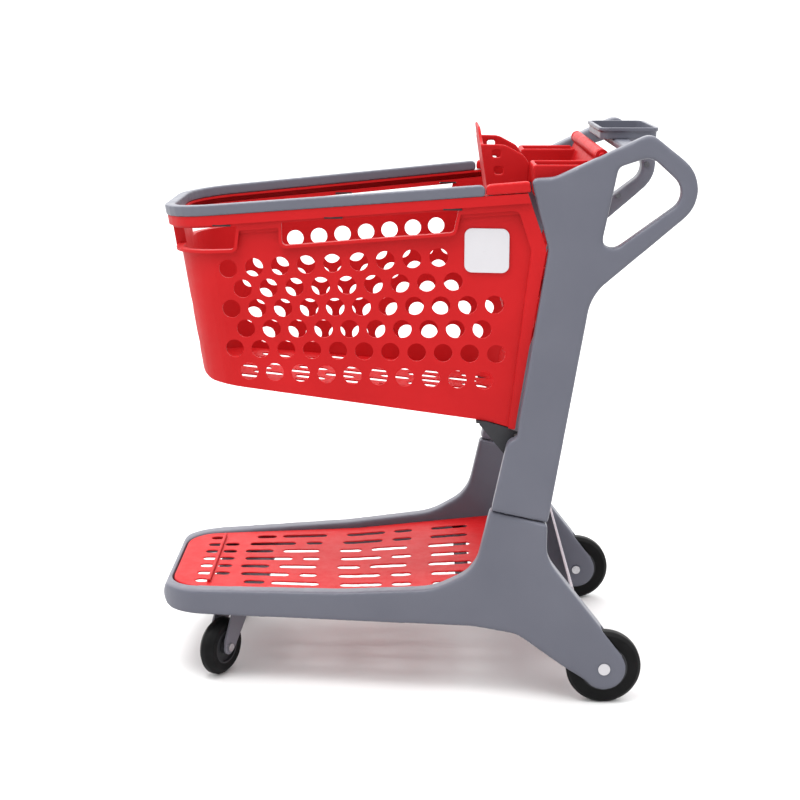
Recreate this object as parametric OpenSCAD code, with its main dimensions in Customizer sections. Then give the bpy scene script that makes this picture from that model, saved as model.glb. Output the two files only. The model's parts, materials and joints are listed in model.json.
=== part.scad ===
// Nestable plastic shopping cart: splayed tub basket on two side uprights with
// looped handles, a low U-shaped base with a slatted rack, two fixed rear wheels,
// two front swivel casters, a swing-up rear gate and a folding child seat.
//
// Frame: millimetres, +Z up, floor at z = 0, +X towards the handles (rear),
// -X towards the nose (front), -Y is the left side. The origin is on the floor,
// under the middle of the cart's box. Outlines are lists of [x, z, corner radius].

/* [Rear wheels] */

// radius of the rear tyres
rear_wheel_r = 63.5; // [60:0.5:66]
// width of the rear tyres
rear_wheel_w = 27; // [24:1:28]
// distance of the rear wheels ahead of the origin towards the handles
rear_wheel_x = 319; // [315:1:322]
// distance of each rear wheel's middle plane from the centre plane
rear_wheel_y = 252.5; // [251:0.5:254]

/* [Front casters] */

// radius of the caster tyres
caster_wheel_r = 51; // [46:0.5:52]
// width of the caster tyres
caster_wheel_w = 29; // [26:1:30]
// horizontal distance from the swivel axis to the caster's axle
caster_trail = 38; // [34:1:40]
// distance of the swivel axes from the origin, towards the nose
caster_x = 327; // [322:1:330]
// distance of the swivel axes from the centre plane
caster_y = 108; // [100:1:112]
// turn of the near fork from straight ahead, the far fork mirrors it
caster_turn = 60; // [0:5:90]

/* [Base] */

// half-width of the base at the origin, measured to its outer face
base_half_w = 230; // [229:0.5:232]
// splay of the base's and the basket's sides
side_splay = 7.5; // [7:0.25:8]
// width of the base rails
rail_w = 29; // [26:1:32]
// height of the rack's top face behind the nose
rack_top = 165; // [163:1:166]
// thickness of the rack
rack_t = 12; // [10:1:14]

/* [Uprights] */

// half-width over the uprights at the origin, at floor level
upright_half_w = 254.8; // [254:0.2:256]
// splay of the uprights towards the handles
upright_splay = 3.4; // [3:0.2:4]
// inward lean of the uprights
upright_lean = 1.65; // [1.5:0.05:1.8]
// thickness of the uprights and of the handle loops
upright_t = 32; // [30:1:34]

/* [Basket] */

// thickness of the basket's moulded wall
wall_t = 4; // [3:0.5:5]
// thickness of the basket's floor
floor_t = 2.5; // [2:0.5:4]
// radius of the round holes in the basket's walls
hole_r = 15.3; // [13:0.1:16]
// distance between neighbouring holes in a row
hole_pitch = 43.8; // [42:0.2:44]
// how far the flange stands out from the wall
flange_out = 14; // [13:1:15]
// side of the square section of the grey rim bumper
bumper_h = 18; // [16:1:19]

/* [Gate and child seat] */

// radius of the red hinge tube
tube_r = 8; // [7.5:0.5:9]
// thickness of the gate's panel
gate_t = 6; // [5:0.5:8]
// half-width of the gate at its lower edge
gate_low_half_w = 156; // [150:1:158]
// thickness of the child seat's shell
seat_t = 5; // [4:0.5:6]

/* [Hidden] */

$fn = 64;
gap = 0.4;
run_gap = 0.08;
tan_splay = tan(side_splay);
axle_r = 5;
arc_steps = 8;

// gate hinge line and child-seat pivots, all axes along Y
tube_x = 297;
tube_z = 920;
tube_pin_r = 5.1;
gate_lean = 18.9;
gate_len = 434;
seat_pivot = [156, 652];
flap_pivot = [208, 712];

// slopes of the rim and of the basket floor, and their heights over the origin
rim_slope = 0.0868;
rim_z0 = 847.5;
floor_slope = -0.108;
floor_z0 = 494.5;

// ---------------------------------------------------------------- helpers

function unit(v) = v / norm(v);

// Points of an arc of radius r that rounds corner b between its neighbours a and c.
function corner_arc(a, b, c, r) =
    let (u = unit(a - b), v = unit(c - b), half = acos(u * v) / 2)
    let (centre = b + unit(u + v) * r / sin(half))
    let (from = b + u * r / tan(half) - centre, to = b + v * r / tan(half) - centre)
    let (start = atan2(from[1], from[0]), turn = atan2(to[1], to[0]) - start)
    let (sweep = turn > 180 ? turn - 360 : turn < -180 ? turn + 360 : turn)
    [for (i = [0 : arc_steps]) let (a = start + sweep * i / arc_steps) centre + r * [cos(a), sin(a)]];

// Closed outline from corners given as [x, y, radius]; radius 0 keeps the corner sharp.
function rounded(corners) =
    let (n = len(corners), at = [for (c = corners) [c[0], c[1]]])
    [for (i = [0 : n - 1])
        for (p = corners[i][2] == 0 ? [at[i]]
            : corner_arc(at[(i + n - 1) % n], at[i], at[(i + 1) % n], corners[i][2]))
            p];

module outline(corners) { polygon(rounded(corners)); }

// Extrudes a drawing of the XZ plane along Y, from y = from to y = to.
module along_y(from, to) {
    translate([0, to, 0]) rotate([90, 0, 0]) linear_extrude(to - from) children();
}

module both_sides() {
    children();
    mirror([0, 1, 0]) children();
}

// A round bar along Y.
module y_bar(x, z, r, from, to) {
    translate([x, from, z]) rotate([-90, 0, 0]) cylinder(r = r, h = to - from);
}

// Places a child in the left upright's own plane: x and z as in the cart,
// y = 0 on the outer face and +y inwards.
module left_upright_plane() {
    translate([0, -upright_half_w, 0]) rotate([-upright_lean, 0, -upright_splay]) children();
}

// Middle of the gate's panel at height z.
function gate_x(z) = tube_x - (tube_z - z) * tan(gate_lean);

function rim_z(x) = rim_z0 + rim_slope * x;
function floor_z(x) = floor_z0 + floor_slope * x;

// ------------------------------------------------------------------- base

base_front = 452;
nose_r = 84;
// corner radius of the nose's inside, which the rack's corners follow
nose_inner_r = nose_r - rail_w + 6;
nose_w = 17;
seam_front = [124, 335];
seam_rear = [219, 316];
leg_x = 250;
leg_outer = 272.5;
leg_inner = 231.5;

function base_side(x) = base_half_w + tan_splay * x;

module base_side_profile() {
    outline([
        [-base_front - 2, 124, 20], [-base_front + 9, 166, 10], [-130, 176, 300],
        [30, 190, 120], [100, 228, 70],
        [seam_front[0], seam_front[1], 0], [seam_rear[0], seam_rear[1], 0],
        [219, 256, 60], [350, 88, 0], [300, 34, 0], [172, 117, 60], [100, 127, 200], [-380, 123, 200]
    ]);
    translate([rear_wheel_x, rear_wheel_r]) circle(r = 38);
}

// Plan of the base: outer outline, or the inner one when inset is the rail width.
module base_plan(inset) {
    front = -base_front + (inset == 0 ? 0 : nose_w);
    half_front = base_side(-base_front) - inset;
    flare_x = 170;
    half_mid = base_side(flare_x) - inset;
    half_leg = inset == 0 ? leg_outer : leg_inner;
    rear = inset == 0 ? 380 : 500;
    r = inset == 0 ? nose_r : nose_inner_r;
    outline([
        [front, -half_front, r], [front, half_front, r], [flare_x, half_mid, 0], [leg_x, half_leg, 0],
        [rear, half_leg, 0], [rear, -half_leg, 0], [leg_x, -half_leg, 0], [flare_x, -half_mid, 0]
    ]);
}

// Plan of a bar across the base from x[0] to x[1], its ends sunk into the rails.
module cross_plan(x, sunk) {
    half = [for (end = x) base_side(end) - sunk];
    polygon([[x[0], -half[0]], [x[1], -half[1]], [x[1], half[1]], [x[0], half[0]]]);
}

module wheel_wells() {
    well_r = rear_wheel_r + 4;
    well_half_w = rear_wheel_w / 2 + 1.5;
    both_sides()
        y_bar(rear_wheel_x, rear_wheel_r, well_r, rear_wheel_y - well_half_w, rear_wheel_y + well_half_w);
}

beam_x = [-369, -269];
beam_z = 124.5;
beam_top = 140;

module base_frame() {
    color([0.42, 0.43, 0.47]) difference() {
        union() {
            intersection() {
                along_y(-300, 300) base_side_profile();
                linear_extrude(400) difference() {
                    base_plan(0);
                    base_plan(rail_w);
                }
            }
            // cross beam between the rails that carries the casters
            translate([0, 0, beam_z]) linear_extrude(beam_top - beam_z) cross_plan(beam_x, 10);
            // ledges under the front and the rear of the rack
            translate([0, 0, rack_top - rack_t - 7.5]) linear_extrude(7)
                cross_plan([-base_front + nose_w - 3, -base_front + nose_w + 12], 52);
            translate([0, 0, rack_top - rack_t + 4]) linear_extrude(7) cross_plan([70, 96], 10);
        }
        wheel_wells();
        both_sides() y_bar(rear_wheel_x, rear_wheel_r, axle_r, leg_inner - 10, leg_outer + 10);
        both_sides() y_bar(rear_wheel_x, rear_wheel_r, 10.5, leg_outer - 2.5, leg_outer + 10);
        caster_stem_holes();
        for (x = [-caster_x - plate_bolt_x, -caster_x + plate_bolt_x]) both_sides()
            for (y = [caster_y - plate_bolt_y, caster_y + plate_bolt_y])
                translate([x, y, beam_z - 1]) cylinder(r = 3, h = 30);
        upright_bolt_holes();
    }
}

plate_bolt_x = 32;
plate_bolt_y = 24;
plate_t = 4;
stem_r = 8;

module caster_stem_holes() {
    both_sides() translate([-caster_x, caster_y, beam_z - 1]) cylinder(r = stem_r + 3, h = 30);
}

module caster_plates() {
    at = [-caster_x, caster_y, beam_z - plate_t - 0.1];
    color([0.55, 0.56, 0.58]) both_sides() translate(at) difference() {
        linear_extrude(plate_t) outline([[-39, -34, 6], [39, -34, 6], [39, 34, 6], [-39, 34, 6]]);
        translate([0, 0, -1]) cylinder(r = stem_r + run_gap, h = plate_t + 2);
        for (x = [-plate_bolt_x, plate_bolt_x], y = [-plate_bolt_y, plate_bolt_y])
            translate([x, y, -1]) cylinder(r = 3, h = plate_t + 2);
    }
}

module caster_plate_bolts() {
    color([0.6, 0.6, 0.62])
    both_sides() translate([-caster_x, caster_y, 0])
        for (x = [-plate_bolt_x, plate_bolt_x], y = [-plate_bolt_y, plate_bolt_y]) translate([x, y, 0]) {
            translate([0, 0, beam_z - plate_t - 3.1]) cylinder(r = 5, h = 3, $fn = 6);
            translate([0, 0, beam_z - plate_t - 0.6]) cylinder(r = 2.9, h = beam_top - beam_z + plate_t + 3);
        }
}

// Sheet panel between the rear legs, sloping down and back from the seam.
module leg_panel() {
    color([0.72, 0.73, 0.76]) along_y(-leg_inner + gap, leg_inner - gap)
        outline([[262, 196, 1], [266, 197, 1], [310, 44, 1], [306, 43, 1]]);
}

// ------------------------------------------------------------------- rack

rack_gap = 2.5;
rack_front = -base_front + nose_w + rack_gap;
rack_rear = 145;
rack_rise = [60, 11];
row_fan = 0.2185;
slot_half_w = 7.5;

// Slots of the even rows, of the inner odd rows and of the two outermost rows, each [front end, rear end].
slots_even = [[-392, -369], [-360, -335], [-318, -267], [-248, -181], [-142, -102], [-83, -17], [23, 100]];
slots_odd = [[-392, -367], [-361, -335], [-314, -228], [-208, -178], [-138, -64], [-44, -9], [28, 97]];
slots_outer = [[-392, -370], [-305, -269], [-256, -172], [-133, -60], [-42, -8], [30, 99]];

module slot(from, to, half_w) {
    translate([from + half_w, -half_w]) square([to - from - 2 * half_w, 2 * half_w]);
    for (x = [from + half_w, to - half_w]) translate([x, 0]) circle(r = half_w, $fn = 24);
}

// Side view of the rack: level behind the nose, rising towards the handles, depth below its top.
module rack_profile(from, to, depth) {
    slope = rack_rise[1] / (rack_rise[0] + 120);
    end_z = rack_top + slope * (to + 120);
    outline([
        [from, rack_top, 0], [-120, rack_top, 400], [to, end_z, 0],
        [to, end_z - depth, 0], [-120, rack_top - depth, 400], [from, rack_top - depth, 0]
    ]);
}

module rack_plan(inset) {
    front = rack_front + inset;
    rear = rack_rear - inset;
    side = rail_w + rack_gap + inset;
    outline([
        [front, -base_side(front) + side, nose_inner_r], [front, base_side(front) - side, nose_inner_r],
        [rear, base_side(rear) - side, 6], [rear, -base_side(rear) + side, 6]
    ]);
}

module bottom_rack() {
    rim_w = 7;
    skin_t = 3;
    color([0.82, 0.13, 0.15]) difference() {
        intersection() {
            along_y(-300, 300) rack_profile(-500, 200, rack_t);
            linear_extrude(400) rack_plan(0);
        }
        // hollow underside: skin on top, a rim all round
        intersection() {
            along_y(-300, 300) translate([0, -skin_t]) rack_profile(-500, 200, rack_t);
            linear_extrude(400) rack_plan(rim_w);
        }
        // rows of slots that fan out with the rails
        for (row = [-3 : 3]) linear_extrude(400)
            translate([0, row * row_fan * base_half_w]) rotate(atan(row * row_fan * tan_splay))
                for (s = abs(row) == 3 ? slots_outer : row % 2 == 0 ? slots_odd : slots_even)
                    slot(s[0], s[1], slot_half_w);
    }
}

module rack_rod() {
    color([0.82, 0.13, 0.15]) y_bar(-366, rack_top + 3.2, 3, -130, 130);
}

// --------------------------------------------------------------- uprights

module upright_profile() {
    outline([
        [seam_front[0] + 0.5, seam_front[1] + 1.2, 0], [149, 452, 14], [166.6, 464, 4],
        [167.9, 488, 0], [211.2, 773, 12], [180.2, 886, 8],
        [218, 888, 40], [369, 959, 20], [480, 872, 60],
        [298, 714, 40], [280, 690, 80], [246, 480, 300], [seam_rear[0] + 0.5, seam_rear[1] + 1.2, 0]
    ]);
}

module handle_opening() {
    outline([[320, 905, 10], [371, 922, 24], [436, 863, 29], [319, 776, 17], [295, 778, 12]]);
}

module left_upright() {
    color([0.42, 0.43, 0.47]) difference() {
        left_upright_plane() along_y(0, upright_t) difference() {
            upright_profile();
            handle_opening();
        }
        hinge_tube_hole();
        bracket_bolt_holes();
        upright_bolt_holes();
    }
}

module right_upright() { mirror([0, 1, 0]) left_upright(); }

// Two long screws a side run up from the base into each upright.
module upright_bolt_holes() {
    both_sides() for (spot = upright_bolt_at) translate([spot[0], -spot[1], 270]) cylinder(r = 4, h = 110);
}

upright_bolt_at = [[152, 238], [194, 242]];

module upright_bolts() {
    color([0.6, 0.6, 0.62]) both_sides() for (spot = upright_bolt_at)
        translate([spot[0], -spot[1], 272]) cylinder(r = 3.9, h = 106);
}

screw_spots = [[376, 811], [428, 869]];

module handle_screws() {
    color([0.6, 0.6, 0.62]) both_sides() left_upright_plane() for (spot = screw_spots)
        y_bar(spot[0], spot[1], 5, upright_t + 0.1, upright_t + 2.6);
}

module hinge_tube_hole() {
    both_sides() y_bar(tube_x, tube_z, tube_pin_r + 0.1, -222.5, -195);
}

bracket_spots = [[158, 436], [166, 458]];

module bracket_bolt_holes() {
    both_sides() for (spot = bracket_spots) y_bar(spot[0], spot[1], 3.1, -232, -205);
}

// ----------------------------------------------------------------- basket

basket_front = 412;
basket_half_w = 204.1;
basket_draft = 0.02;
front_draft = 0.151;
basket_corner_r = 88;

// Solid that the basket's shell is cut from, grown outwards by grow.
module tub_solid(grow) {
    hull() for (z = [440, 920]) {
        front = -basket_front - front_draft * (z - 820) - grow;
        half = basket_half_w + basket_draft * (z - 840) + grow;
        translate([0, 0, z]) linear_extrude(0.1) outline([
            [front, -half - tan_splay * front, basket_corner_r + grow],
            [front, half + tan_splay * front, basket_corner_r + grow],
            [260, half + tan_splay * 260, 0], [260, -half - tan_splay * 260, 0]
        ]);
    }
}

// The basket's rear edge: a slanted line down from the rim to a kink, then down and forward.
rear_top = [178, rim_z(178)];
rear_kink = [209.5, 773];
rear_foot = [166.4, 488];
rear_slant = (rear_kink[0] - rear_top[0]) / (rear_top[1] - rear_kink[1]);

// Point of the rear edge that lies drop below the rim's line.
function rear_at(drop) =
    let (down = drop / (1 + rim_slope * rear_slant)) rear_top + [rear_slant * down, -down];

// Side view of the basket between its floor and a line drop below the rim's line.
module basket_profile(drop) {
    outline([
        [-480, rim_z(-480) - drop, 0], [rear_at(drop)[0], rear_at(drop)[1], 0],
        [rear_kink[0], rear_kink[1], 30], [rear_foot[0], rear_foot[1], 4],
        [164, floor_z(164) - 7, 3], [118, floor_z(118), 20], [-365, floor_z(-365), 40], [-480, 745, 0]
    ]);
}

module inner_profile() {
    outline([
        [-480, 960, 0], [280, 960, 0], [280, floor_z(280) + floor_t, 0],
        [-361, floor_z(-361) + floor_t, 36], [-476, 745, 0]
    ]);
}

// Strip of the side view between two lines below the rim's line.
module rim_strip(high, low) {
    high_end = rear_at(high);
    low_end = rear_at(low);
    polygon([[-490, rim_z(-490) - low], low_end, high_end, [-490, rim_z(-490) - high]]);
}

// Number of holes in each row, from the top, and the rows' heights over the origin.
hole_rows = [9, 9, 11, 10, 11, 10];
hole_row_z = [752, 712, 673.5, 634.5, 595, 551.5];

function hole_x(row, i) = -314 + 2 * row + (row % 2) * hole_pitch / 2 + i * hole_pitch;
function hole_z(row, x) = hole_row_z[row] + x * (0.075 - 0.017 * row);

module side_holes() {
    for (row = [0 : len(hole_rows) - 1], i = [0 : hole_rows[row] - 1])
        y_bar(hole_x(row, i), hole_z(row, hole_x(row, i)), hole_r, -260, 260);
}

module front_holes() {
    for (row = [1 : 5], i = [-2 : 2]) {
        y = (i + (row % 2) / 2) * hole_pitch * 0.9;
        z = hole_z(row, -380);
        if (abs(y) < 90) translate([-490, y, z]) rotate([0, 90, 0]) cylinder(r = hole_r, h = 160);
    }
}

floor_slot_half_w = 11;

module floor_slots() {
    for (row = [-4 : 4], i = [0 : 5]) {
        x = -312 + i * 74 + abs(row % 2) * 24;
        if (abs(row) < 4 || i > 1) translate([0, row * 38, 430])
            linear_extrude(120) slot(x, x + 54, floor_slot_half_w);
    }
}

skirt_h = 16;
border_drop = 29;
border_w = 24;
lip_w = 5;
lip_out = 9;
nose_panel_half = 45;

long_window = [[-222, 770, 8], [60, 797, 8], [74, 866, 0], [-222, 840, 0]];
corner_window = [[-490, 752, 0], [-302, 762, 8], [-296, 812, 0], [-490, 800, 0]];

// Part of a window, grown by grow, that lies under the flange's skirt.
module under_skirt(window, grow) {
    intersection() {
        offset(delta = grow) outline(window);
        rim_strip(skirt_h + 4, 200);
    }
}

// The long windows of the sides and the windows round the front corners.
module window_cuts() {
    along_y(-290, 290) under_skirt(long_window, 0);
    both_sides() along_y(-290, -nose_panel_half) under_skirt(corner_window, 0);
}

// Raised parts of the side view: a band under the flange and one along the rear edge.
module border() {
    difference() {
        polygon([[-490, 380], [260, 380], [260, 900], [-490, 900]]);
        outline([
            [-600, rim_z(-600) - border_drop, 0],
            [rear_at(border_drop)[0] - border_w, rear_at(border_drop)[1], 12],
            [rear_kink[0] - border_w, rear_kink[1] - 4, 30], [rear_foot[0] - border_w / 2, rear_foot[1], 0],
            [rear_foot[0] - border_w, 340, 0], [-600, 340, 0]
        ]);
    }
}

module basket() {
    color([0.82, 0.13, 0.15]) difference() {
        union() {
            intersection() {
                along_y(-290, 290) basket_profile(1);
                tub_solid(0);
            }
            // flange that carries the bumper, and the blank panel on the nose
            intersection() {
                union() {
                    along_y(-290, 290) rim_strip(0, skirt_h);
                    along_y(-nose_panel_half, nose_panel_half) under_skirt(corner_window, lip_w - 0.5);
                    along_y(-nose_panel_half, nose_panel_half) rim_strip(skirt_h - 3, skirt_h + 12);
                }
                tub_solid(flange_out);
            }
            // fillet between the border and the wall
            intersection() {
                along_y(-290, 290) translate([-8, 0]) rim_strip(skirt_h + 2, border_drop + 5);
                tub_solid(lip_out / 2);
            }
            // border, and the lips round the windows
            intersection() {
                along_y(-290, 290) intersection() {
                    basket_profile(2);
                    union() {
                        under_skirt(long_window, lip_w);
                        under_skirt(corner_window, lip_w);
                        border();
                    }
                }
                tub_solid(lip_out);
            }
        }
        // groove behind the flange, open inwards
        intersection() {
            along_y(-290, 290) intersection() {
                rim_strip(3.5, skirt_h - 3);
                polygon([[-490, 700], [168, 700], [168, 900], [-490, 900]]);
            }
            tub_solid(flange_out - 3.5);
        }
        intersection() {
            along_y(-290, 290) inner_profile();
            tub_solid(-wall_t);
        }
        side_holes();
        front_holes();
        floor_slots();
        window_cuts();
        clip_slots();
        basket_bolt_holes();
    }
}

// Red ends of the rim, between the bumper and the uprights.
module rim_caps() {
    color([0.82, 0.13, 0.15]) intersection() {
        both_sides() along_y(-290, -100) outline([
            [111.5, rim_z(111.5) + 1.2, 2], [183, rim_z(183) + 1.2, 0],
            [180.5, rim_z(180) + bumper_h + 1, 3], [111.5, rim_z(111.5) + bumper_h, 7]
        ]);
        difference() {
            tub_solid(flange_out + 1);
            tub_solid(flange_out + 1 - bumper_h);
        }
    }
}

clip_spots = [-322, -136, 58];
clip_w = 30;
clip_z = [19, 16.3];

module clip_slots() {
    both_sides() for (x = clip_spots)
        translate([x - clip_w / 2 - 0.4, -290, rim_z(x) - clip_z[0] - 0.4]) cube([clip_w + 0.8, 200, 3.1]);
}

badge_at = [114, 768];
badge_half = 36;

// Plain badge plates with rounded corners, standing on the basket's sides.
module left_badge() {
    color([0.93, 0.93, 0.93]) difference() {
        intersection() {
            along_y(-290, 0) outline([
                for (p = [[-1, -1], [1, -1], [1, 1], [-1, 1]])
                    [badge_at[0] + p[0] * badge_half, badge_at[1] + p[1] * badge_half, 12]
            ]);
            tub_solid(3);
        }
        tub_solid(0.05);
    }
}

module right_badge() { mirror([0, 1, 0]) left_badge(); }

module rim_bumper() {
    color([0.42, 0.43, 0.47]) intersection() {
        along_y(-290, 290) outline([
            [-480, rim_z(-480) + 0.1, 0], [110, rim_z(110) + 0.1, 4],
            [110, rim_z(110) + bumper_h, 8], [-480, rim_z(-480) + bumper_h, 0]
        ]);
        difference() {
            tub_solid(flange_out + 2);
            tub_solid(flange_out + 2 - bumper_h);
        }
    }
}

// Snap tabs of the bumper, seen under the skirt and inside the basket.
module rim_clips() {
    color([0.2, 0.2, 0.22]) both_sides() for (x = clip_spots) intersection() {
        translate([x - clip_w / 2, -290, rim_z(x) - clip_z[0]]) cube([clip_w, 160, clip_z[0] - clip_z[1]]);
        difference() {
            tub_solid(lip_out + 1.5);
            tub_solid(-wall_t - 1.5);
        }
    }
}

// Grey L-shaped gussets that carry the basket's rear end on the uprights.
module basket_brackets() {
    color([0.36, 0.37, 0.41]) both_sides() difference() {
        union() {
            along_y(-217, -213) outline([
                [150, 422, 4], [172, 430, 8], [176, floor_z(176) - 12.5, 2], [100, floor_z(100) - 1, 3]
            ]);
            along_y(-217, -182) polygon([
                [100, floor_z(100) - 5], [117, floor_z(117) - 5], [156, floor_z(156) - 11.5],
                [156, floor_z(156) - 7.5], [117, floor_z(117) - 1], [100, floor_z(100) - 1]
            ]);
        }
        for (spot = bracket_spots) y_bar(spot[0], spot[1], 3.1, -232, -205);
        basket_bolt_holes();
    }
}

// Screws from each bracket into the upright beside it.
module bracket_bolts() {
    color([0.6, 0.6, 0.62]) both_sides() for (spot = bracket_spots) {
        y_bar(spot[0], spot[1], 6, -212.9, -209);
        y_bar(spot[0], spot[1], 3, -230, -210);
    }
}

basket_bolt_x = [112, 140];

module basket_bolt_holes() {
    both_sides() for (x = basket_bolt_x) translate([x, -197, floor_z(x) - 20]) cylinder(r = 3.1, h = 40);
}

// Screws through the basket's floor into the brackets.
module basket_bolts() {
    color([0.6, 0.6, 0.62]) both_sides() for (x = basket_bolt_x) translate([x, -197, floor_z(x)]) {
        translate([0, 0, floor_t + 0.8]) cylinder(r = 5.5, h = 3);
        translate([0, 0, -14]) cylinder(r = 3, h = floor_t + 15);
    }
}

// ------------------------------------------------------- top of the cart

module hinge_tube() {
    color([0.82, 0.13, 0.15]) {
        y_bar(tube_x, tube_z, tube_r, -204.5, 204.5);
        y_bar(tube_x, tube_z, tube_pin_r, -222, 222);
    }
}

// Spacer rings on the tube's pins, between its shoulders and the uprights.
module tube_collars() {
    color([0.82, 0.13, 0.15]) both_sides() difference() {
        y_bar(tube_x, tube_z, knuckle_r, -211, -205);
        y_bar(tube_x, tube_z, tube_pin_r + 0.1, -220, -200);
    }
}

tray_x = [304, 404];
tray_half_w = 100;
tray_top = 957;
tray_depth = 19;
tray_wall = 3;
crossbar_x = 342;
crossbar_top = tray_top - tray_depth;
tray_screw_y = [-60, 60];

module handle_crossbar() {
    color([0.42, 0.43, 0.47]) {
        difference() {
            along_y(-214.8, 214.8) outline([
                [crossbar_x - 14, crossbar_top - 14, 5], [crossbar_x + 14, crossbar_top - 14, 5],
                [crossbar_x + 14, crossbar_top, 4], [crossbar_x - 14, crossbar_top, 4]
            ]);
            for (y = tray_screw_y) translate([crossbar_x, y, crossbar_top - 20]) cylinder(r = 2.5, h = 30);
        }
    }
}

module tray() {
    color([0.47, 0.48, 0.53]) difference() {
        translate([0, 0, tray_top - tray_depth]) linear_extrude(tray_depth) tray_plan(0);
        translate([0, 0, tray_top - tray_depth + tray_wall]) linear_extrude(tray_depth) tray_plan(6);
        // step under the rim, so that the rim overhangs
        difference() {
            translate([0, 0, tray_top - tray_depth - 1]) linear_extrude(tray_depth - 5) tray_plan(-5);
            translate([0, 0, tray_top - tray_depth - 2]) linear_extrude(tray_depth) tray_plan(2.5);
        }
        for (y = tray_screw_y) translate([crossbar_x, y, tray_top - tray_depth]) {
            translate([0, 0, -1]) cylinder(r = 2.5, h = 10);
            translate([0, 0, tray_wall - 1.6]) cylinder(r = 5.2, h = 10);
        }
    }
}

module tray_plan(inset) {
    r = 14 - inset / 2;
    y = tray_half_w - inset;
    front = tray_x[0] + inset;
    rear = tray_x[1] - inset;
    outline([[front, -y, r], [rear, -y, r], [rear, y, r], [front, y, r]]);
}

module tray_screws() {
    color([0.6, 0.6, 0.62]) for (y = tray_screw_y) translate([crossbar_x, y, 0]) {
        translate([0, 0, crossbar_top - 13]) cylinder(r = 2.4, h = 14.6);
        translate([0, 0, crossbar_top + tray_wall - 1.5]) cylinder(r = 5, h = 1.2);
    }
}

// ------------------------------------------------------------ rear wheels

hub_r = 40;
bearing_r = 11;
bearing_w = 7;

module wheel_at_left_rear() {
    translate([rear_wheel_x, -rear_wheel_y, rear_wheel_r]) rotate([90, 0, 0]) children();
}

module tyre(r, inner_r, w, edge) {
    rotate_extrude($fn = 96) outline([
        [inner_r, -w / 2 + 1, 0], [r - edge, -w / 2, edge * 0.6], [r, -w / 2 + edge, edge * 0.9],
        [r, w / 2 - edge, edge * 0.9], [r - edge, w / 2, edge * 0.6], [inner_r, w / 2 - 1, 0]
    ]);
}

module left_rear_tyre() {
    color([0.06, 0.06, 0.06]) wheel_at_left_rear() tyre(rear_wheel_r, hub_r, rear_wheel_w, 6);
}

// Hub with a thin web between its rim and its boss.
module left_rear_hub() {
    half = rear_wheel_w / 2;
    color([0.25, 0.25, 0.27]) wheel_at_left_rear() difference() {
        translate([0, 0, -half + 1]) cylinder(r = hub_r, h = rear_wheel_w - 2);
        for (side = [-1, 1]) {
            translate([0, 0, side * half - 8]) rotate_extrude() translate([16, 0]) square([hub_r - 20, 16]);
            translate([0, 0, side * half - bearing_w]) cylinder(r = bearing_r, h = 2 * bearing_w);
        }
        cylinder(r = axle_r + 1, h = 100, center = true);
    }
}

module left_rear_bearings() {
    color([0.7, 0.7, 0.72]) wheel_at_left_rear() for (side = [-1, 1])
        translate([0, 0, side * (rear_wheel_w / 2 - bearing_w / 2 - 0.2)]) difference() {
            cylinder(r = bearing_r, h = bearing_w - 0.4, center = true);
            cylinder(r = axle_r + run_gap, h = 30, center = true);
        }
}

module right_rear_tyre() { mirror([0, 1, 0]) left_rear_tyre(); }
module right_rear_hub() { mirror([0, 1, 0]) left_rear_hub(); }
module right_rear_bearings() { mirror([0, 1, 0]) left_rear_bearings(); }

module rear_axles() {
    color([0.6, 0.6, 0.62]) both_sides()
        y_bar(rear_wheel_x, rear_wheel_r, axle_r, -leg_outer + 2.6, -leg_inner + 3);
}

module rear_axle_caps() {
    color([0.8, 0.81, 0.83]) both_sides()
        y_bar(rear_wheel_x, rear_wheel_r, 10, -leg_outer - 1.2, -leg_outer + 2.5);
}

module rear_axle_nuts() {
    color([0.6, 0.6, 0.62]) both_sides() difference() {
        y_bar(rear_wheel_x, rear_wheel_r, 8, -leg_inner + 0.1, -leg_inner + 4);
        y_bar(rear_wheel_x, rear_wheel_r, axle_r, -leg_inner - 5, -leg_inner + 9);
    }
}

// ---------------------------------------------------------------- casters

fork_top = 120;
fork_leg_t = 3.5;
caster_axle_r = 4;
// radial room of a pin that is fixed in its hole
seat_gap = 0.05;
fork_leg_y = 16.2;

// The left caster's own frame: swivel axis at x = y = 0, wheel trailing towards -x.
module left_caster() {
    translate([-caster_x, -caster_y, 0]) rotate([0, 0, caster_turn]) children();
}

module left_caster_fork() {
    color([0.45, 0.46, 0.49]) left_caster() difference() {
        union() {
            translate([0, 0, fork_top - 6]) cylinder(r = 23, h = 6);
            translate([-26, -fork_leg_y - fork_leg_t, fork_top - 12])
                cube([44, 2 * (fork_leg_y + fork_leg_t), 8]);
            for (side = [-1, 1]) translate([0, side * (fork_leg_y + fork_leg_t / 2), 0])
                along_y(-fork_leg_t / 2, fork_leg_t / 2) outline([
                    [-26, fork_top - 8, 0], [18, fork_top - 8, 0], [14, 92, 14], [-caster_trail + 13, 44, 13],
                    [-caster_trail + 3, 38, 11], [-caster_trail - 13, 40, 11], [-caster_trail - 11, 66, 14]
                ]);
        }
        translate([0, 0, fork_top - 20]) cylinder(r = stem_r + seat_gap, h = 30);
        y_bar(-caster_trail, caster_wheel_r, caster_axle_r + seat_gap, -40, 40);
    }
}

module left_caster_stem() {
    color([0.6, 0.6, 0.62]) left_caster() {
        translate([0, 0, fork_top - 12]) cylinder(r = stem_r, h = 34);
        translate([0, 0, beam_top + 0.5]) cylinder(r = 13, h = 5);
    }
}

module left_caster_axle() {
    head_y = fork_leg_y + fork_leg_t + 0.1;
    color([0.6, 0.6, 0.62]) left_caster() {
        y_bar(-caster_trail, caster_wheel_r, caster_axle_r, -head_y - 0.1, head_y + 0.1);
        for (end = [-head_y - 4, head_y]) y_bar(-caster_trail, caster_wheel_r, 7, end, end + 4);
    }
}

caster_hub_r = 30;

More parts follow.
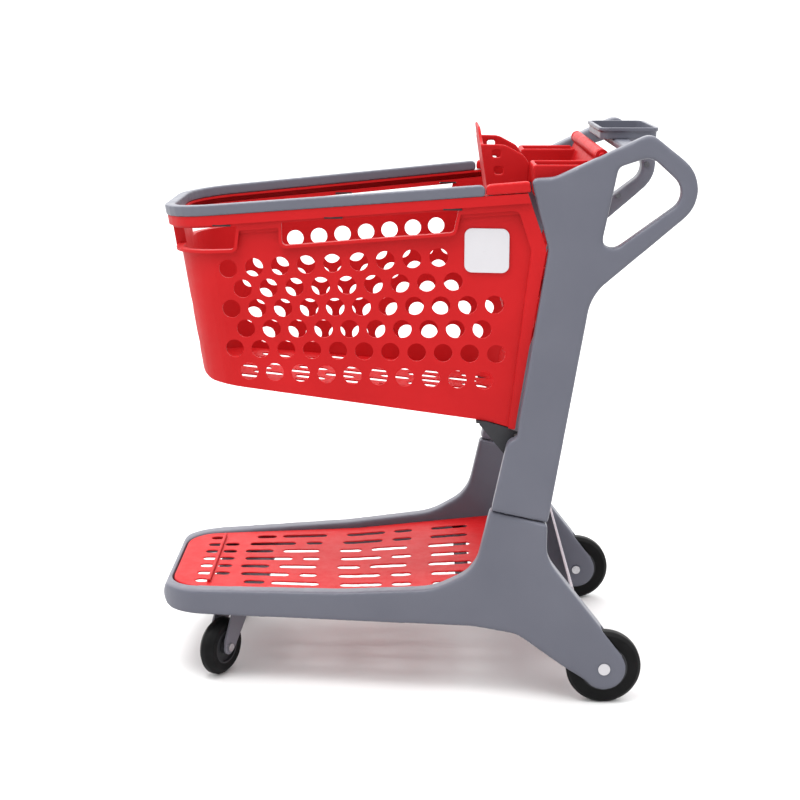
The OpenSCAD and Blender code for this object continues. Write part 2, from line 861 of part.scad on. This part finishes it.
module at_left_caster_wheel() {
    left_caster() translate([-caster_trail, 0, caster_wheel_r]) rotate([90, 0, 0]) children();
}

module left_caster_tyre() {
    color([0.06, 0.06, 0.06]) at_left_caster_wheel() tyre(caster_wheel_r, caster_hub_r, caster_wheel_w, 9);
}

module left_caster_hub() {
    half = caster_wheel_w / 2;
    color([0.25, 0.25, 0.27]) at_left_caster_wheel() difference() {
        union() {
            translate([0, 0, -half + 1]) cylinder(r = caster_hub_r, h = caster_wheel_w - 2);
            cylinder(r = 10, h = 2 * fork_leg_y - 0.8, center = true);
        }
        for (side = [-1, 1]) translate([0, 0, side * half - 6])
            rotate_extrude() translate([13, 0]) square([caster_hub_r - 16, 12]);
        cylinder(r = caster_axle_r + run_gap, h = 100, center = true);
    }
}

module right_caster_fork() { mirror([0, 1, 0]) left_caster_fork(); }
module right_caster_stem() { mirror([0, 1, 0]) left_caster_stem(); }
module right_caster_axle() { mirror([0, 1, 0]) left_caster_axle(); }
module right_caster_tyre() { mirror([0, 1, 0]) left_caster_tyre(); }
module right_caster_hub() { mirror([0, 1, 0]) left_caster_hub(); }

// --------------------------------------------------- gate and child seat

gate_top_half_w = 203;
pod_outer = 204;
pod_inner = 116;
ear_y = 113;
flap_ear_y = 98;
knuckle_half_w = 198;
knuckle_r = tube_r + 2.5;

// The gate's own frame: origin on the hinge line, the panel hangs down -z.
module gate_plane() {
    translate([tube_x, 0, tube_z]) rotate([0, gate_lean, 0]) children();
}

module gate_panel_plan() {
    difference() {
        outline([
            [-gate_low_half_w, -gate_len, 24], [gate_low_half_w, -gate_len, 24],
            [gate_top_half_w, -12, 4], [-gate_top_half_w, -12, 4]
        ]);
        // leg openings
        for (side = [-1, 1]) outline([
            [side * 18, -214, 16], [side * 88, -214, 16], [side * 88, -124, 16], [side * 18, -124, 16]
        ]);
        // round holes below the child seat
        for (row = [0 : 3], i = [-3 : 3]) {
            y = (i + (row % 2) / 2) * hole_pitch;
            if (abs(y) < 128) translate([y, -290 - 35 * row]) circle(r = hole_r);
        }
    }
}

module gate_panel() {
    color([0.82, 0.13, 0.15]) difference() {
        union() {
            gate_plane() rotate([90, 0, 90]) translate([0, 0, -gate_t / 2])
                linear_extrude(gate_t) gate_panel_plan();
            // rolled top edge round the hinge tube
            y_bar(tube_x, tube_z, knuckle_r, -knuckle_half_w, knuckle_half_w);
            gate_plane() translate([-gate_t / 2, -knuckle_half_w, -26])
                cube([gate_t, 2 * knuckle_half_w, 20]);
            both_sides() gate_pod();
            both_sides() seat_ear();
            both_sides() flap_ear();
        }
        y_bar(tube_x, tube_z, tube_r + run_gap, -210, 210);
        // clearance round the collars
        both_sides() y_bar(tube_x, tube_z, tube_r + 6, -230, -knuckle_half_w);
        y_bar(seat_pivot[0], seat_pivot[1], pin_r + run_gap, -130, 130);
        y_bar(flap_pivot[0], flap_pivot[1], flap_pin_r + run_gap, -110, 110);
    }
}

// Side pocket of the gate beside the child's seat, open at the top.
module gate_pod() {
    pod_profile = [
        [187, 905, 5], [gate_x(905) - 7, 905, 0], [gate_x(890), 890, 0], [gate_x(845), 845, 0], [194, 845, 10]
    ];
    difference() {
        along_y(-pod_outer, -pod_inner) outline(pod_profile);
        translate([0, 0, 6]) along_y(-pod_outer + seat_t, -pod_inner - seat_t)
            outline([[193, 930, 0], [300, 930, 0], [300, 870, 0], [262, 845, 2], [198, 845, 8]]);
        gate_plane() translate([gate_t / 2, -300, -200]) cube([60, 600, 400]);
    }
}

module seat_ear() {
    along_y(-ear_y - seat_t, -ear_y) outline([
        [seat_pivot[0] - 11, seat_pivot[1] - 11, 10], [gate_x(seat_pivot[1] - 20), seat_pivot[1] - 20, 0],
        [gate_x(seat_pivot[1] + 22), seat_pivot[1] + 22, 0], [seat_pivot[0] - 9, seat_pivot[1] + 12, 10]
    ]);
}

module flap_ear() {
    along_y(-flap_ear_y - seat_t, -flap_ear_y) outline([
        [flap_pivot[0] - 9, flap_pivot[1] - 8, 7], [gate_x(flap_pivot[1] - 12), flap_pivot[1] - 12, 0],
        [gate_x(flap_pivot[1] + 12), flap_pivot[1] + 12, 0], [flap_pivot[0] - 9, flap_pivot[1] + 9, 7]
    ]);
}

seat_half_w = 112;
pin_r = 4;
flap_pin_r = 3;
flap_len = 54;
belt_slots = [[133, 915], [137, 887]];
flap_t = 4;

// Bucket of the child's seat: a back with a raised headrest and two wings.
module seat_back() {
    back_low = [seat_pivot[0] - 6, seat_pivot[1] - 9];
    back_high = [102, 957];
    color([0.82, 0.13, 0.15]) difference() {
        union() {
            // back, cut to a rounded headrest
            intersection() {
                along_y(-seat_half_w, seat_half_w) outline([
                    [back_low[0], back_low[1], 0], [back_low[0] + seat_t, back_low[1], 0],
                    [back_high[0] + seat_t, back_high[1], 2], [back_high[0], back_high[1], 2]
                ]);
                rotate([90, 0, 90]) linear_extrude(300) outline([
                    [-seat_half_w, 600, 0], [seat_half_w, 600, 0], [seat_half_w, 931, 6], [84, 933, 20],
                    [66, 958, 24], [-66, 958, 24], [-84, 933, 20], [-seat_half_w, 931, 6]
                ]);
            }
            both_sides() along_y(-seat_half_w, -seat_half_w + seat_t) outline([
                [107, 931, 3], [146, 930, 30], [178, 913, 10], [188, 899, 6], [186, 850, 10],
                [174, 700, 20], [seat_pivot[0] + 10, seat_pivot[1] - 9, 8], [back_low[0], back_low[1], 3]
            ]);
        }
        y_bar(seat_pivot[0], seat_pivot[1], pin_r, -130, 130);
        // belt slots, a pair in each wing
        for (spot = belt_slots) along_y(-130, 130) outline([
            for (p = [[-1, -1], [1, -1], [1, 1], [-1, 1]]) [spot[0] + p[0] * 7, spot[1] + p[1] * 6, 3]
        ]);
    }
}

module seat_pins() {
    color([0.6, 0.6, 0.62]) both_sides()
        y_bar(seat_pivot[0], seat_pivot[1], pin_r, -ear_y - seat_t - 1, -seat_half_w + seat_t + 1);
}

module seat_flap() {
    flap_half_w = flap_ear_y - gap;
    color([0.82, 0.13, 0.15]) difference() {
        union() {
            translate([flap_pivot[0] - flap_len, 0, flap_pivot[1] - flap_t / 2])
                linear_extrude(flap_t) outline([
                    [0, -flap_half_w, 12], [flap_len, -flap_half_w, 0],
                    [flap_len, flap_half_w, 0], [0, flap_half_w, 12]
                ]);
            y_bar(flap_pivot[0], flap_pivot[1], 6, -flap_half_w, flap_half_w);
        }
        y_bar(flap_pivot[0], flap_pivot[1], flap_pin_r, -110, 110);
    }
}

module flap_pins() {
    end = flap_ear_y + seat_t + 1;
    color([0.6, 0.6, 0.62]) y_bar(flap_pivot[0], flap_pivot[1], flap_pin_r, -end, end);
}

// ------------------------------------------------------------------ parts

base_frame();
caster_plates();
caster_plate_bolts();
leg_panel();
bottom_rack();
rack_rod();
left_upright();
right_upright();
upright_bolts();
handle_screws();
basket();
basket_brackets();
bracket_bolts();
basket_bolts();
rim_bumper();
rim_caps();
rim_clips();
left_badge();
right_badge();
hinge_tube();
tube_collars();
handle_crossbar();
tray();
tray_screws();
rear_axles();
rear_axle_caps();
rear_axle_nuts();
left_rear_tyre();
left_rear_hub();
left_rear_bearings();
right_rear_tyre();
right_rear_hub();
right_rear_bearings();
left_caster_fork();
left_caster_stem();
left_caster_axle();
left_caster_tyre();
left_caster_hub();
right_caster_fork();
right_caster_stem();
right_caster_axle();
right_caster_tyre();
right_caster_hub();
gate_panel();
seat_back();
seat_pins();
seat_flap();
flap_pins();
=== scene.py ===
"""Looks of the plastic shopping cart: moulded red and grey plastic, rubber tyres,
plated hardware, a pale studio floor, soft light and the camera. Lengths are in metres."""
import json
import math

import bpy
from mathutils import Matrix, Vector


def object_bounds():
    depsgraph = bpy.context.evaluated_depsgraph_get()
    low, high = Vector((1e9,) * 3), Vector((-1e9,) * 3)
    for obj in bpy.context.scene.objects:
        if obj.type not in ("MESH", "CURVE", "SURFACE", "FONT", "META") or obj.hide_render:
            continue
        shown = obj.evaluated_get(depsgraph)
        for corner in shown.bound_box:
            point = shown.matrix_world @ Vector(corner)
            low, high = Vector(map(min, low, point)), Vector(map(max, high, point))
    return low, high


# Most values of the noise texture lie between these two.
NOISE_LOW = 0.3
NOISE_HIGH = 0.7

# Plastics by material slot: main colour, the colour of its clouds, roughness and, if not usual, gloss
PLASTICS = {
    "red_plastic": dict(
        colour=(0.375, 0.005, 0.0065), shade=(0.425, 0.007, 0.009), roughness=0.5, gloss=0.14),
    "grey_plastic": dict(colour=(0.090, 0.093, 0.118), shade=(0.102, 0.105, 0.131), roughness=0.38),
    "dark_grey_plastic": dict(colour=(0.018, 0.018, 0.021), shade=(0.026, 0.026, 0.030), roughness=0.5),
    "light_grey_plastic": dict(colour=(0.30, 0.275, 0.305), shade=(0.36, 0.33, 0.36), roughness=0.5),
    "white_plastic": dict(colour=(0.46, 0.45, 0.47), shade=(0.50, 0.49, 0.51), roughness=0.3),
    "caster_grey": dict(colour=(0.13, 0.125, 0.15), shade=(0.16, 0.155, 0.18), roughness=0.4),
}

# Plated metals by material slot
METALS = {
    "black_steel": dict(colour=(0.10, 0.10, 0.11), roughness=0.35),
    "zinc_steel": dict(colour=(0.62, 0.62, 0.64), roughness=0.32),
}

TYRE_COLOUR = (0.002, 0.002, 0.0022)
TYRE_DUST = (0.005, 0.005, 0.0055)

# Moulded nodes whose edges are rounded: cell of the new skin, passes of smoothing
ROUNDED_NODES = {
    "left_upright": (0.0020, 45),
    "right_upright": (0.0020, 45),
    "base_frame": (0.0020, 45),
    "rim_bumper": (0.0014, 22),
    "rim_caps": (0.0014, 22),
    "bottom_rack": (0.0016, 6),
    "handle_crossbar": (0.0015, 10),
    "tray": (0.0010, 10),
    "seat_back": (0.0014, 8),
    "gate_panel": (0.0016, 6),
}
WELD_DISTANCE = 0.00001
CREASE_ANGLE = math.radians(30.0)

# The sky's strength rises from DIM_SKY to BRIGHT_SKY as a direction's dot product
# with BRIGHT_SIDE rises from DIM_FROM to BRIGHT_FROM.
BRIGHT_SIDE = (0.0, 0.3, 0.95)
DIM_FROM = -0.3
BRIGHT_FROM = 0.95
DIM_SKY = 0.06
BRIGHT_SKY = 3.3

# Lamp, its power in watts
KEY_PLACE = (-1.0, -0.9, 3.2)
KEY_AIM = (0, 0, 0.5)
KEY_SIZE = 1.0
KEY_POWER = 45

FLOOR_SIZE = 900.0
FLOOR_COLOUR = (0.63, 0.63, 0.63)
FLOOR_SHADE = (0.65, 0.65, 0.65)

# Camera, its sensor and lens in millimetres
CAMERA_PLACE = (0.003, -2.80, 1.138)
CAMERA_DIP = math.radians(13.496)
CAMERA_TURN = math.radians(0.661)
SENSOR_WIDTH = 36.0
LENS = 72.0

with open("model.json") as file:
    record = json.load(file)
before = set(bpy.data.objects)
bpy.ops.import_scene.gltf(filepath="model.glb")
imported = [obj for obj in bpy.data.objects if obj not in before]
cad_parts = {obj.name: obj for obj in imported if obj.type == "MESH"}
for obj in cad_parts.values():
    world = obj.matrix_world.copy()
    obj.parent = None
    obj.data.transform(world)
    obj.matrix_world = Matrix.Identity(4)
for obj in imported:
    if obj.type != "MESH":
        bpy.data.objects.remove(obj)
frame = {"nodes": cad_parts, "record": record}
cad_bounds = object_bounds()


# ------------------------------------------------------------- node helpers

def new_material(name):
    """A node material, its tree and its shader."""
    material = bpy.data.materials.new(name)
    material.use_nodes = True
    return material, material.node_tree, material.node_tree.nodes["Principled BSDF"]


def noise(tree, scale, detail=3.0, roughness=0.55):
    """Noise in object space, so that it stays on a part that moves; scale is per metre."""
    coords = tree.nodes.new("ShaderNodeTexCoord")
    node = tree.nodes.new("ShaderNodeTexNoise")
    node.inputs["Scale"].default_value = scale
    node.inputs["Detail"].default_value = detail
    node.inputs["Roughness"].default_value = roughness
    tree.links.new(coords.outputs["Object"], node.inputs["Vector"])
    return node.outputs["Fac"]


def map_range(tree, value, from_low, from_high, to_low, to_high):
    """Maps a node value linearly from one range to another, and keeps it inside."""
    node = tree.nodes.new("ShaderNodeMapRange")
    node.inputs["From Min"].default_value = from_low
    node.inputs["From Max"].default_value = from_high
    node.inputs["To Min"].default_value = to_low
    node.inputs["To Max"].default_value = to_high
    tree.links.new(value, node.inputs["Value"])
    return node.outputs["Result"]


def spread(tree, value, low, high):
    """Maps a noise value to low..high."""
    return map_range(tree, value, NOISE_LOW, NOISE_HIGH, low, high)


def cloud_colour(tree, shader, clouds, first, second):
    """Colours the shader from first to second as the noise rises."""
    node = tree.nodes.new("ShaderNodeMix")
    node.data_type = "RGBA"
    tree.links.new(spread(tree, clouds, 0.0, 1.0), node.inputs["Factor"])
    node.inputs["A"].default_value = (*first, 1.0)
    node.inputs["B"].default_value = (*second, 1.0)
    tree.links.new(node.outputs["Result"], shader.inputs["Base Color"])


def vary_roughness(tree, shader, scuffs, low, high):
    """Varies the shader's roughness from low to high as the noise rises."""
    tree.links.new(spread(tree, scuffs, low, high), shader.inputs["Roughness"])


def bump(tree, shader, height, strength, distance):
    """Raises the shader's surface by a noise value, distance high at full strength."""
    node = tree.nodes.new("ShaderNodeBump")
    node.inputs["Strength"].default_value = strength
    node.inputs["Distance"].default_value = distance
    tree.links.new(height, node.inputs["Height"])
    tree.links.new(node.outputs["Normal"], shader.inputs["Normal"])


# ---------------------------------------------------------------- materials

def moulded_plastic(name, colour, shade, roughness, gloss=0.3):
    """Moulded plastic: fine spark-eroded grain, soft flow clouds in its colour, scuffs in its gloss."""
    material, tree, shader = new_material(name)
    clouds = noise(tree, scale=7.0, detail=4.0)
    scuffs = noise(tree, scale=45.0, detail=6.0, roughness=0.7)
    grain = noise(tree, scale=900.0, detail=2.0)
    cloud_colour(tree, shader, clouds, colour, shade)
    vary_roughness(tree, shader, scuffs, low=roughness - 0.05, high=roughness + 0.09)
    bump(tree, shader, grain, strength=0.35, distance=0.00012)
    shader.inputs["Specular IOR Level"].default_value = gloss
    return material


def rubber(name):
    """Dull black tyre rubber with a trace of dust."""
    material, tree, shader = new_material(name)
    dust = noise(tree, scale=30.0, detail=5.0)
    wear = noise(tree, scale=80.0)
    grain = noise(tree, scale=700.0)
    cloud_colour(tree, shader, dust, TYRE_COLOUR, TYRE_DUST)
    vary_roughness(tree, shader, wear, low=0.45, high=0.6)
    bump(tree, shader, grain, strength=0.3, distance=0.0002)
    shader.inputs["Specular IOR Level"].default_value = 0.12
    return material


def plated_steel(name, colour, roughness):
    """Plated steel: a fine spangle in its colour and uneven gloss."""
    material, tree, shader = new_material(name)
    darker = tuple(0.8 * channel for channel in colour)
    spangle = noise(tree, scale=220.0)
    haze = noise(tree, scale=90.0)
    grain = noise(tree, scale=1500.0)
    cloud_colour(tree, shader, spangle, colour, darker)
    vary_roughness(tree, shader, haze, low=roughness - 0.06, high=roughness + 0.1)
    bump(tree, shader, grain, strength=0.15, distance=0.00005)
    shader.inputs["Metallic"].default_value = 1.0
    return material


def make_materials():
    """All materials of the cart, by material slot."""
    materials = {slot: moulded_plastic(slot, **look) for slot, look in PLASTICS.items()}
    materials.update({slot: plated_steel(slot, **look) for slot, look in METALS.items()})
    materials["black_tyre"] = rubber("black_tyre")
    return materials


def dress_nodes():
    """Gives every CAD node the material of its slot in the record."""
    materials = make_materials()
    for entry in frame["record"]["subparts"]:
        slots = frame["nodes"][entry["node"]].data.materials
        slots.clear()
        slots.append(materials[entry["material_slot"]])


# ------------------------------------------------------------------ surface

def round_edges(name, cell, passes):
    """Re-skins a moulded node finely and relaxes it, which rounds its edges as a mould does."""
    node = frame["nodes"][name]
    skin = node.modifiers.new("skin", "REMESH")
    skin.mode = "VOXEL"
    skin.voxel_size = cell
    skin.use_smooth_shade = True
    relax = node.modifiers.new("relax", "SMOOTH")
    relax.factor = 0.5
    relax.iterations = passes


def shade_by_angle():
    """Modifier group that welds a mesh's facets and shades all but its sharp edges smooth."""
    group = bpy.data.node_groups.new("shade_by_angle", "GeometryNodeTree")
    for direction in ("INPUT", "OUTPUT"):
        group.interface.new_socket("Geometry", in_out=direction, socket_type="NodeSocketGeometry")
    weld = group.nodes.new("GeometryNodeMergeByDistance")
    weld.inputs["Distance"].default_value = WELD_DISTANCE
    stored_normals = group.nodes.new("GeometryNodeRemoveAttribute")
    stored_normals.inputs["Name"].default_value = "custom_normal"
    edge_angle = group.nodes.new("GeometryNodeInputMeshEdgeAngle")
    shallow = group.nodes.new("FunctionNodeCompare")
    shallow.data_type = "FLOAT"
    shallow.operation = "LESS_THAN"
    shallow.inputs["B"].default_value = CREASE_ANGLE
    smooth_edges = group.nodes.new("GeometryNodeSetShadeSmooth")
    smooth_edges.domain = "EDGE"
    group.links.new(edge_angle.outputs["Unsigned Angle"], shallow.inputs["A"])
    group.links.new(shallow.outputs["Result"], smooth_edges.inputs["Shade Smooth"])
    steps = (
        group.nodes.new("NodeGroupInput"),
        weld,
        stored_normals,
        group.nodes.new("GeometryNodeSetShadeSmooth"),
        smooth_edges,
        group.nodes.new("NodeGroupOutput"),
    )
    for step, following in zip(steps, steps[1:]):
        group.links.new(step.outputs["Geometry"], following.inputs["Geometry"])
    return group


def finish_surfaces():
    """Rounds the thick moulded nodes and shades every other node by its edge angles."""
    for name, (cell, passes) in ROUNDED_NODES.items():
        round_edges(name, cell, passes)
    group = shade_by_angle()
    for name, node in frame["nodes"].items():
        if name not in ROUNDED_NODES:
            node.modifiers.new("shading", "NODES").node_group = group


# ------------------------------------------------------------------- studio

def studio_world():
    """Soft light all round: brightest above and beyond the cart, dim on the camera's side."""
    world = bpy.data.worlds.new("studio")
    world.use_nodes = True
    tree = world.node_tree
    direction = tree.nodes.new("ShaderNodeTexCoord")
    closeness = tree.nodes.new("ShaderNodeVectorMath")
    closeness.operation = "DOT_PRODUCT"
    closeness.inputs[1].default_value = BRIGHT_SIDE
    tree.links.new(direction.outputs["Generated"], closeness.inputs[0])
    strength = map_range(tree, closeness.outputs["Value"], DIM_FROM, BRIGHT_FROM, DIM_SKY, BRIGHT_SKY)
    sky = tree.nodes["Background"]
    sky.inputs["Color"].default_value = (1.0, 1.0, 1.0, 1.0)
    tree.links.new(strength, sky.inputs["Strength"])
    bpy.context.scene.world = world


def key_light():
    """A round soft lamp above the cart's front, on the camera's side."""
    light = bpy.data.lights.new("key", "AREA")
    light.shape = "DISK"
    light.size = KEY_SIZE
    light.energy = KEY_POWER
    lamp = bpy.data.objects.new("key", light)
    lamp.location = KEY_PLACE
    lamp.rotation_euler = (Vector(KEY_AIM) - Vector(KEY_PLACE)).to_track_quat("-Z", "Y").to_euler()
    bpy.context.scene.collection.objects.link(lamp)


def stage():
    """Pale matt floor under the cart, out to the horizon."""
    lowest = cad_bounds[0]
    bpy.ops.mesh.primitive_plane_add(size=FLOOR_SIZE, location=(0, 0, lowest[2]))
    floor = bpy.context.object
    floor.name = "floor"
    material, tree, shader = new_material("floor")
    clouds = noise(tree, scale=3.0)
    cloud_colour(tree, shader, clouds, FLOOR_COLOUR, FLOOR_SHADE)
    shader.inputs["Roughness"].default_value = 0.9
    shader.inputs["Specular IOR Level"].default_value = 0.0
    floor.data.materials.append(material)


def camera():
    """Long lens, a little above the handles, nearly square to the cart's left side."""
    data = bpy.data.cameras.new("view")
    data.sensor_width = SENSOR_WIDTH
    data.lens = LENS
    view = bpy.data.objects.new("view", data)
    view.location = CAMERA_PLACE
    view.rotation_euler = (math.radians(90) - CAMERA_DIP, 0, CAMERA_TURN)
    bpy.context.scene.collection.objects.link(view)
    bpy.context.scene.camera = view


dress_nodes()
finish_surfaces()
stage()
studio_world()
key_light()
camera()
bpy.context.scene.view_settings.view_transform = "Standard"
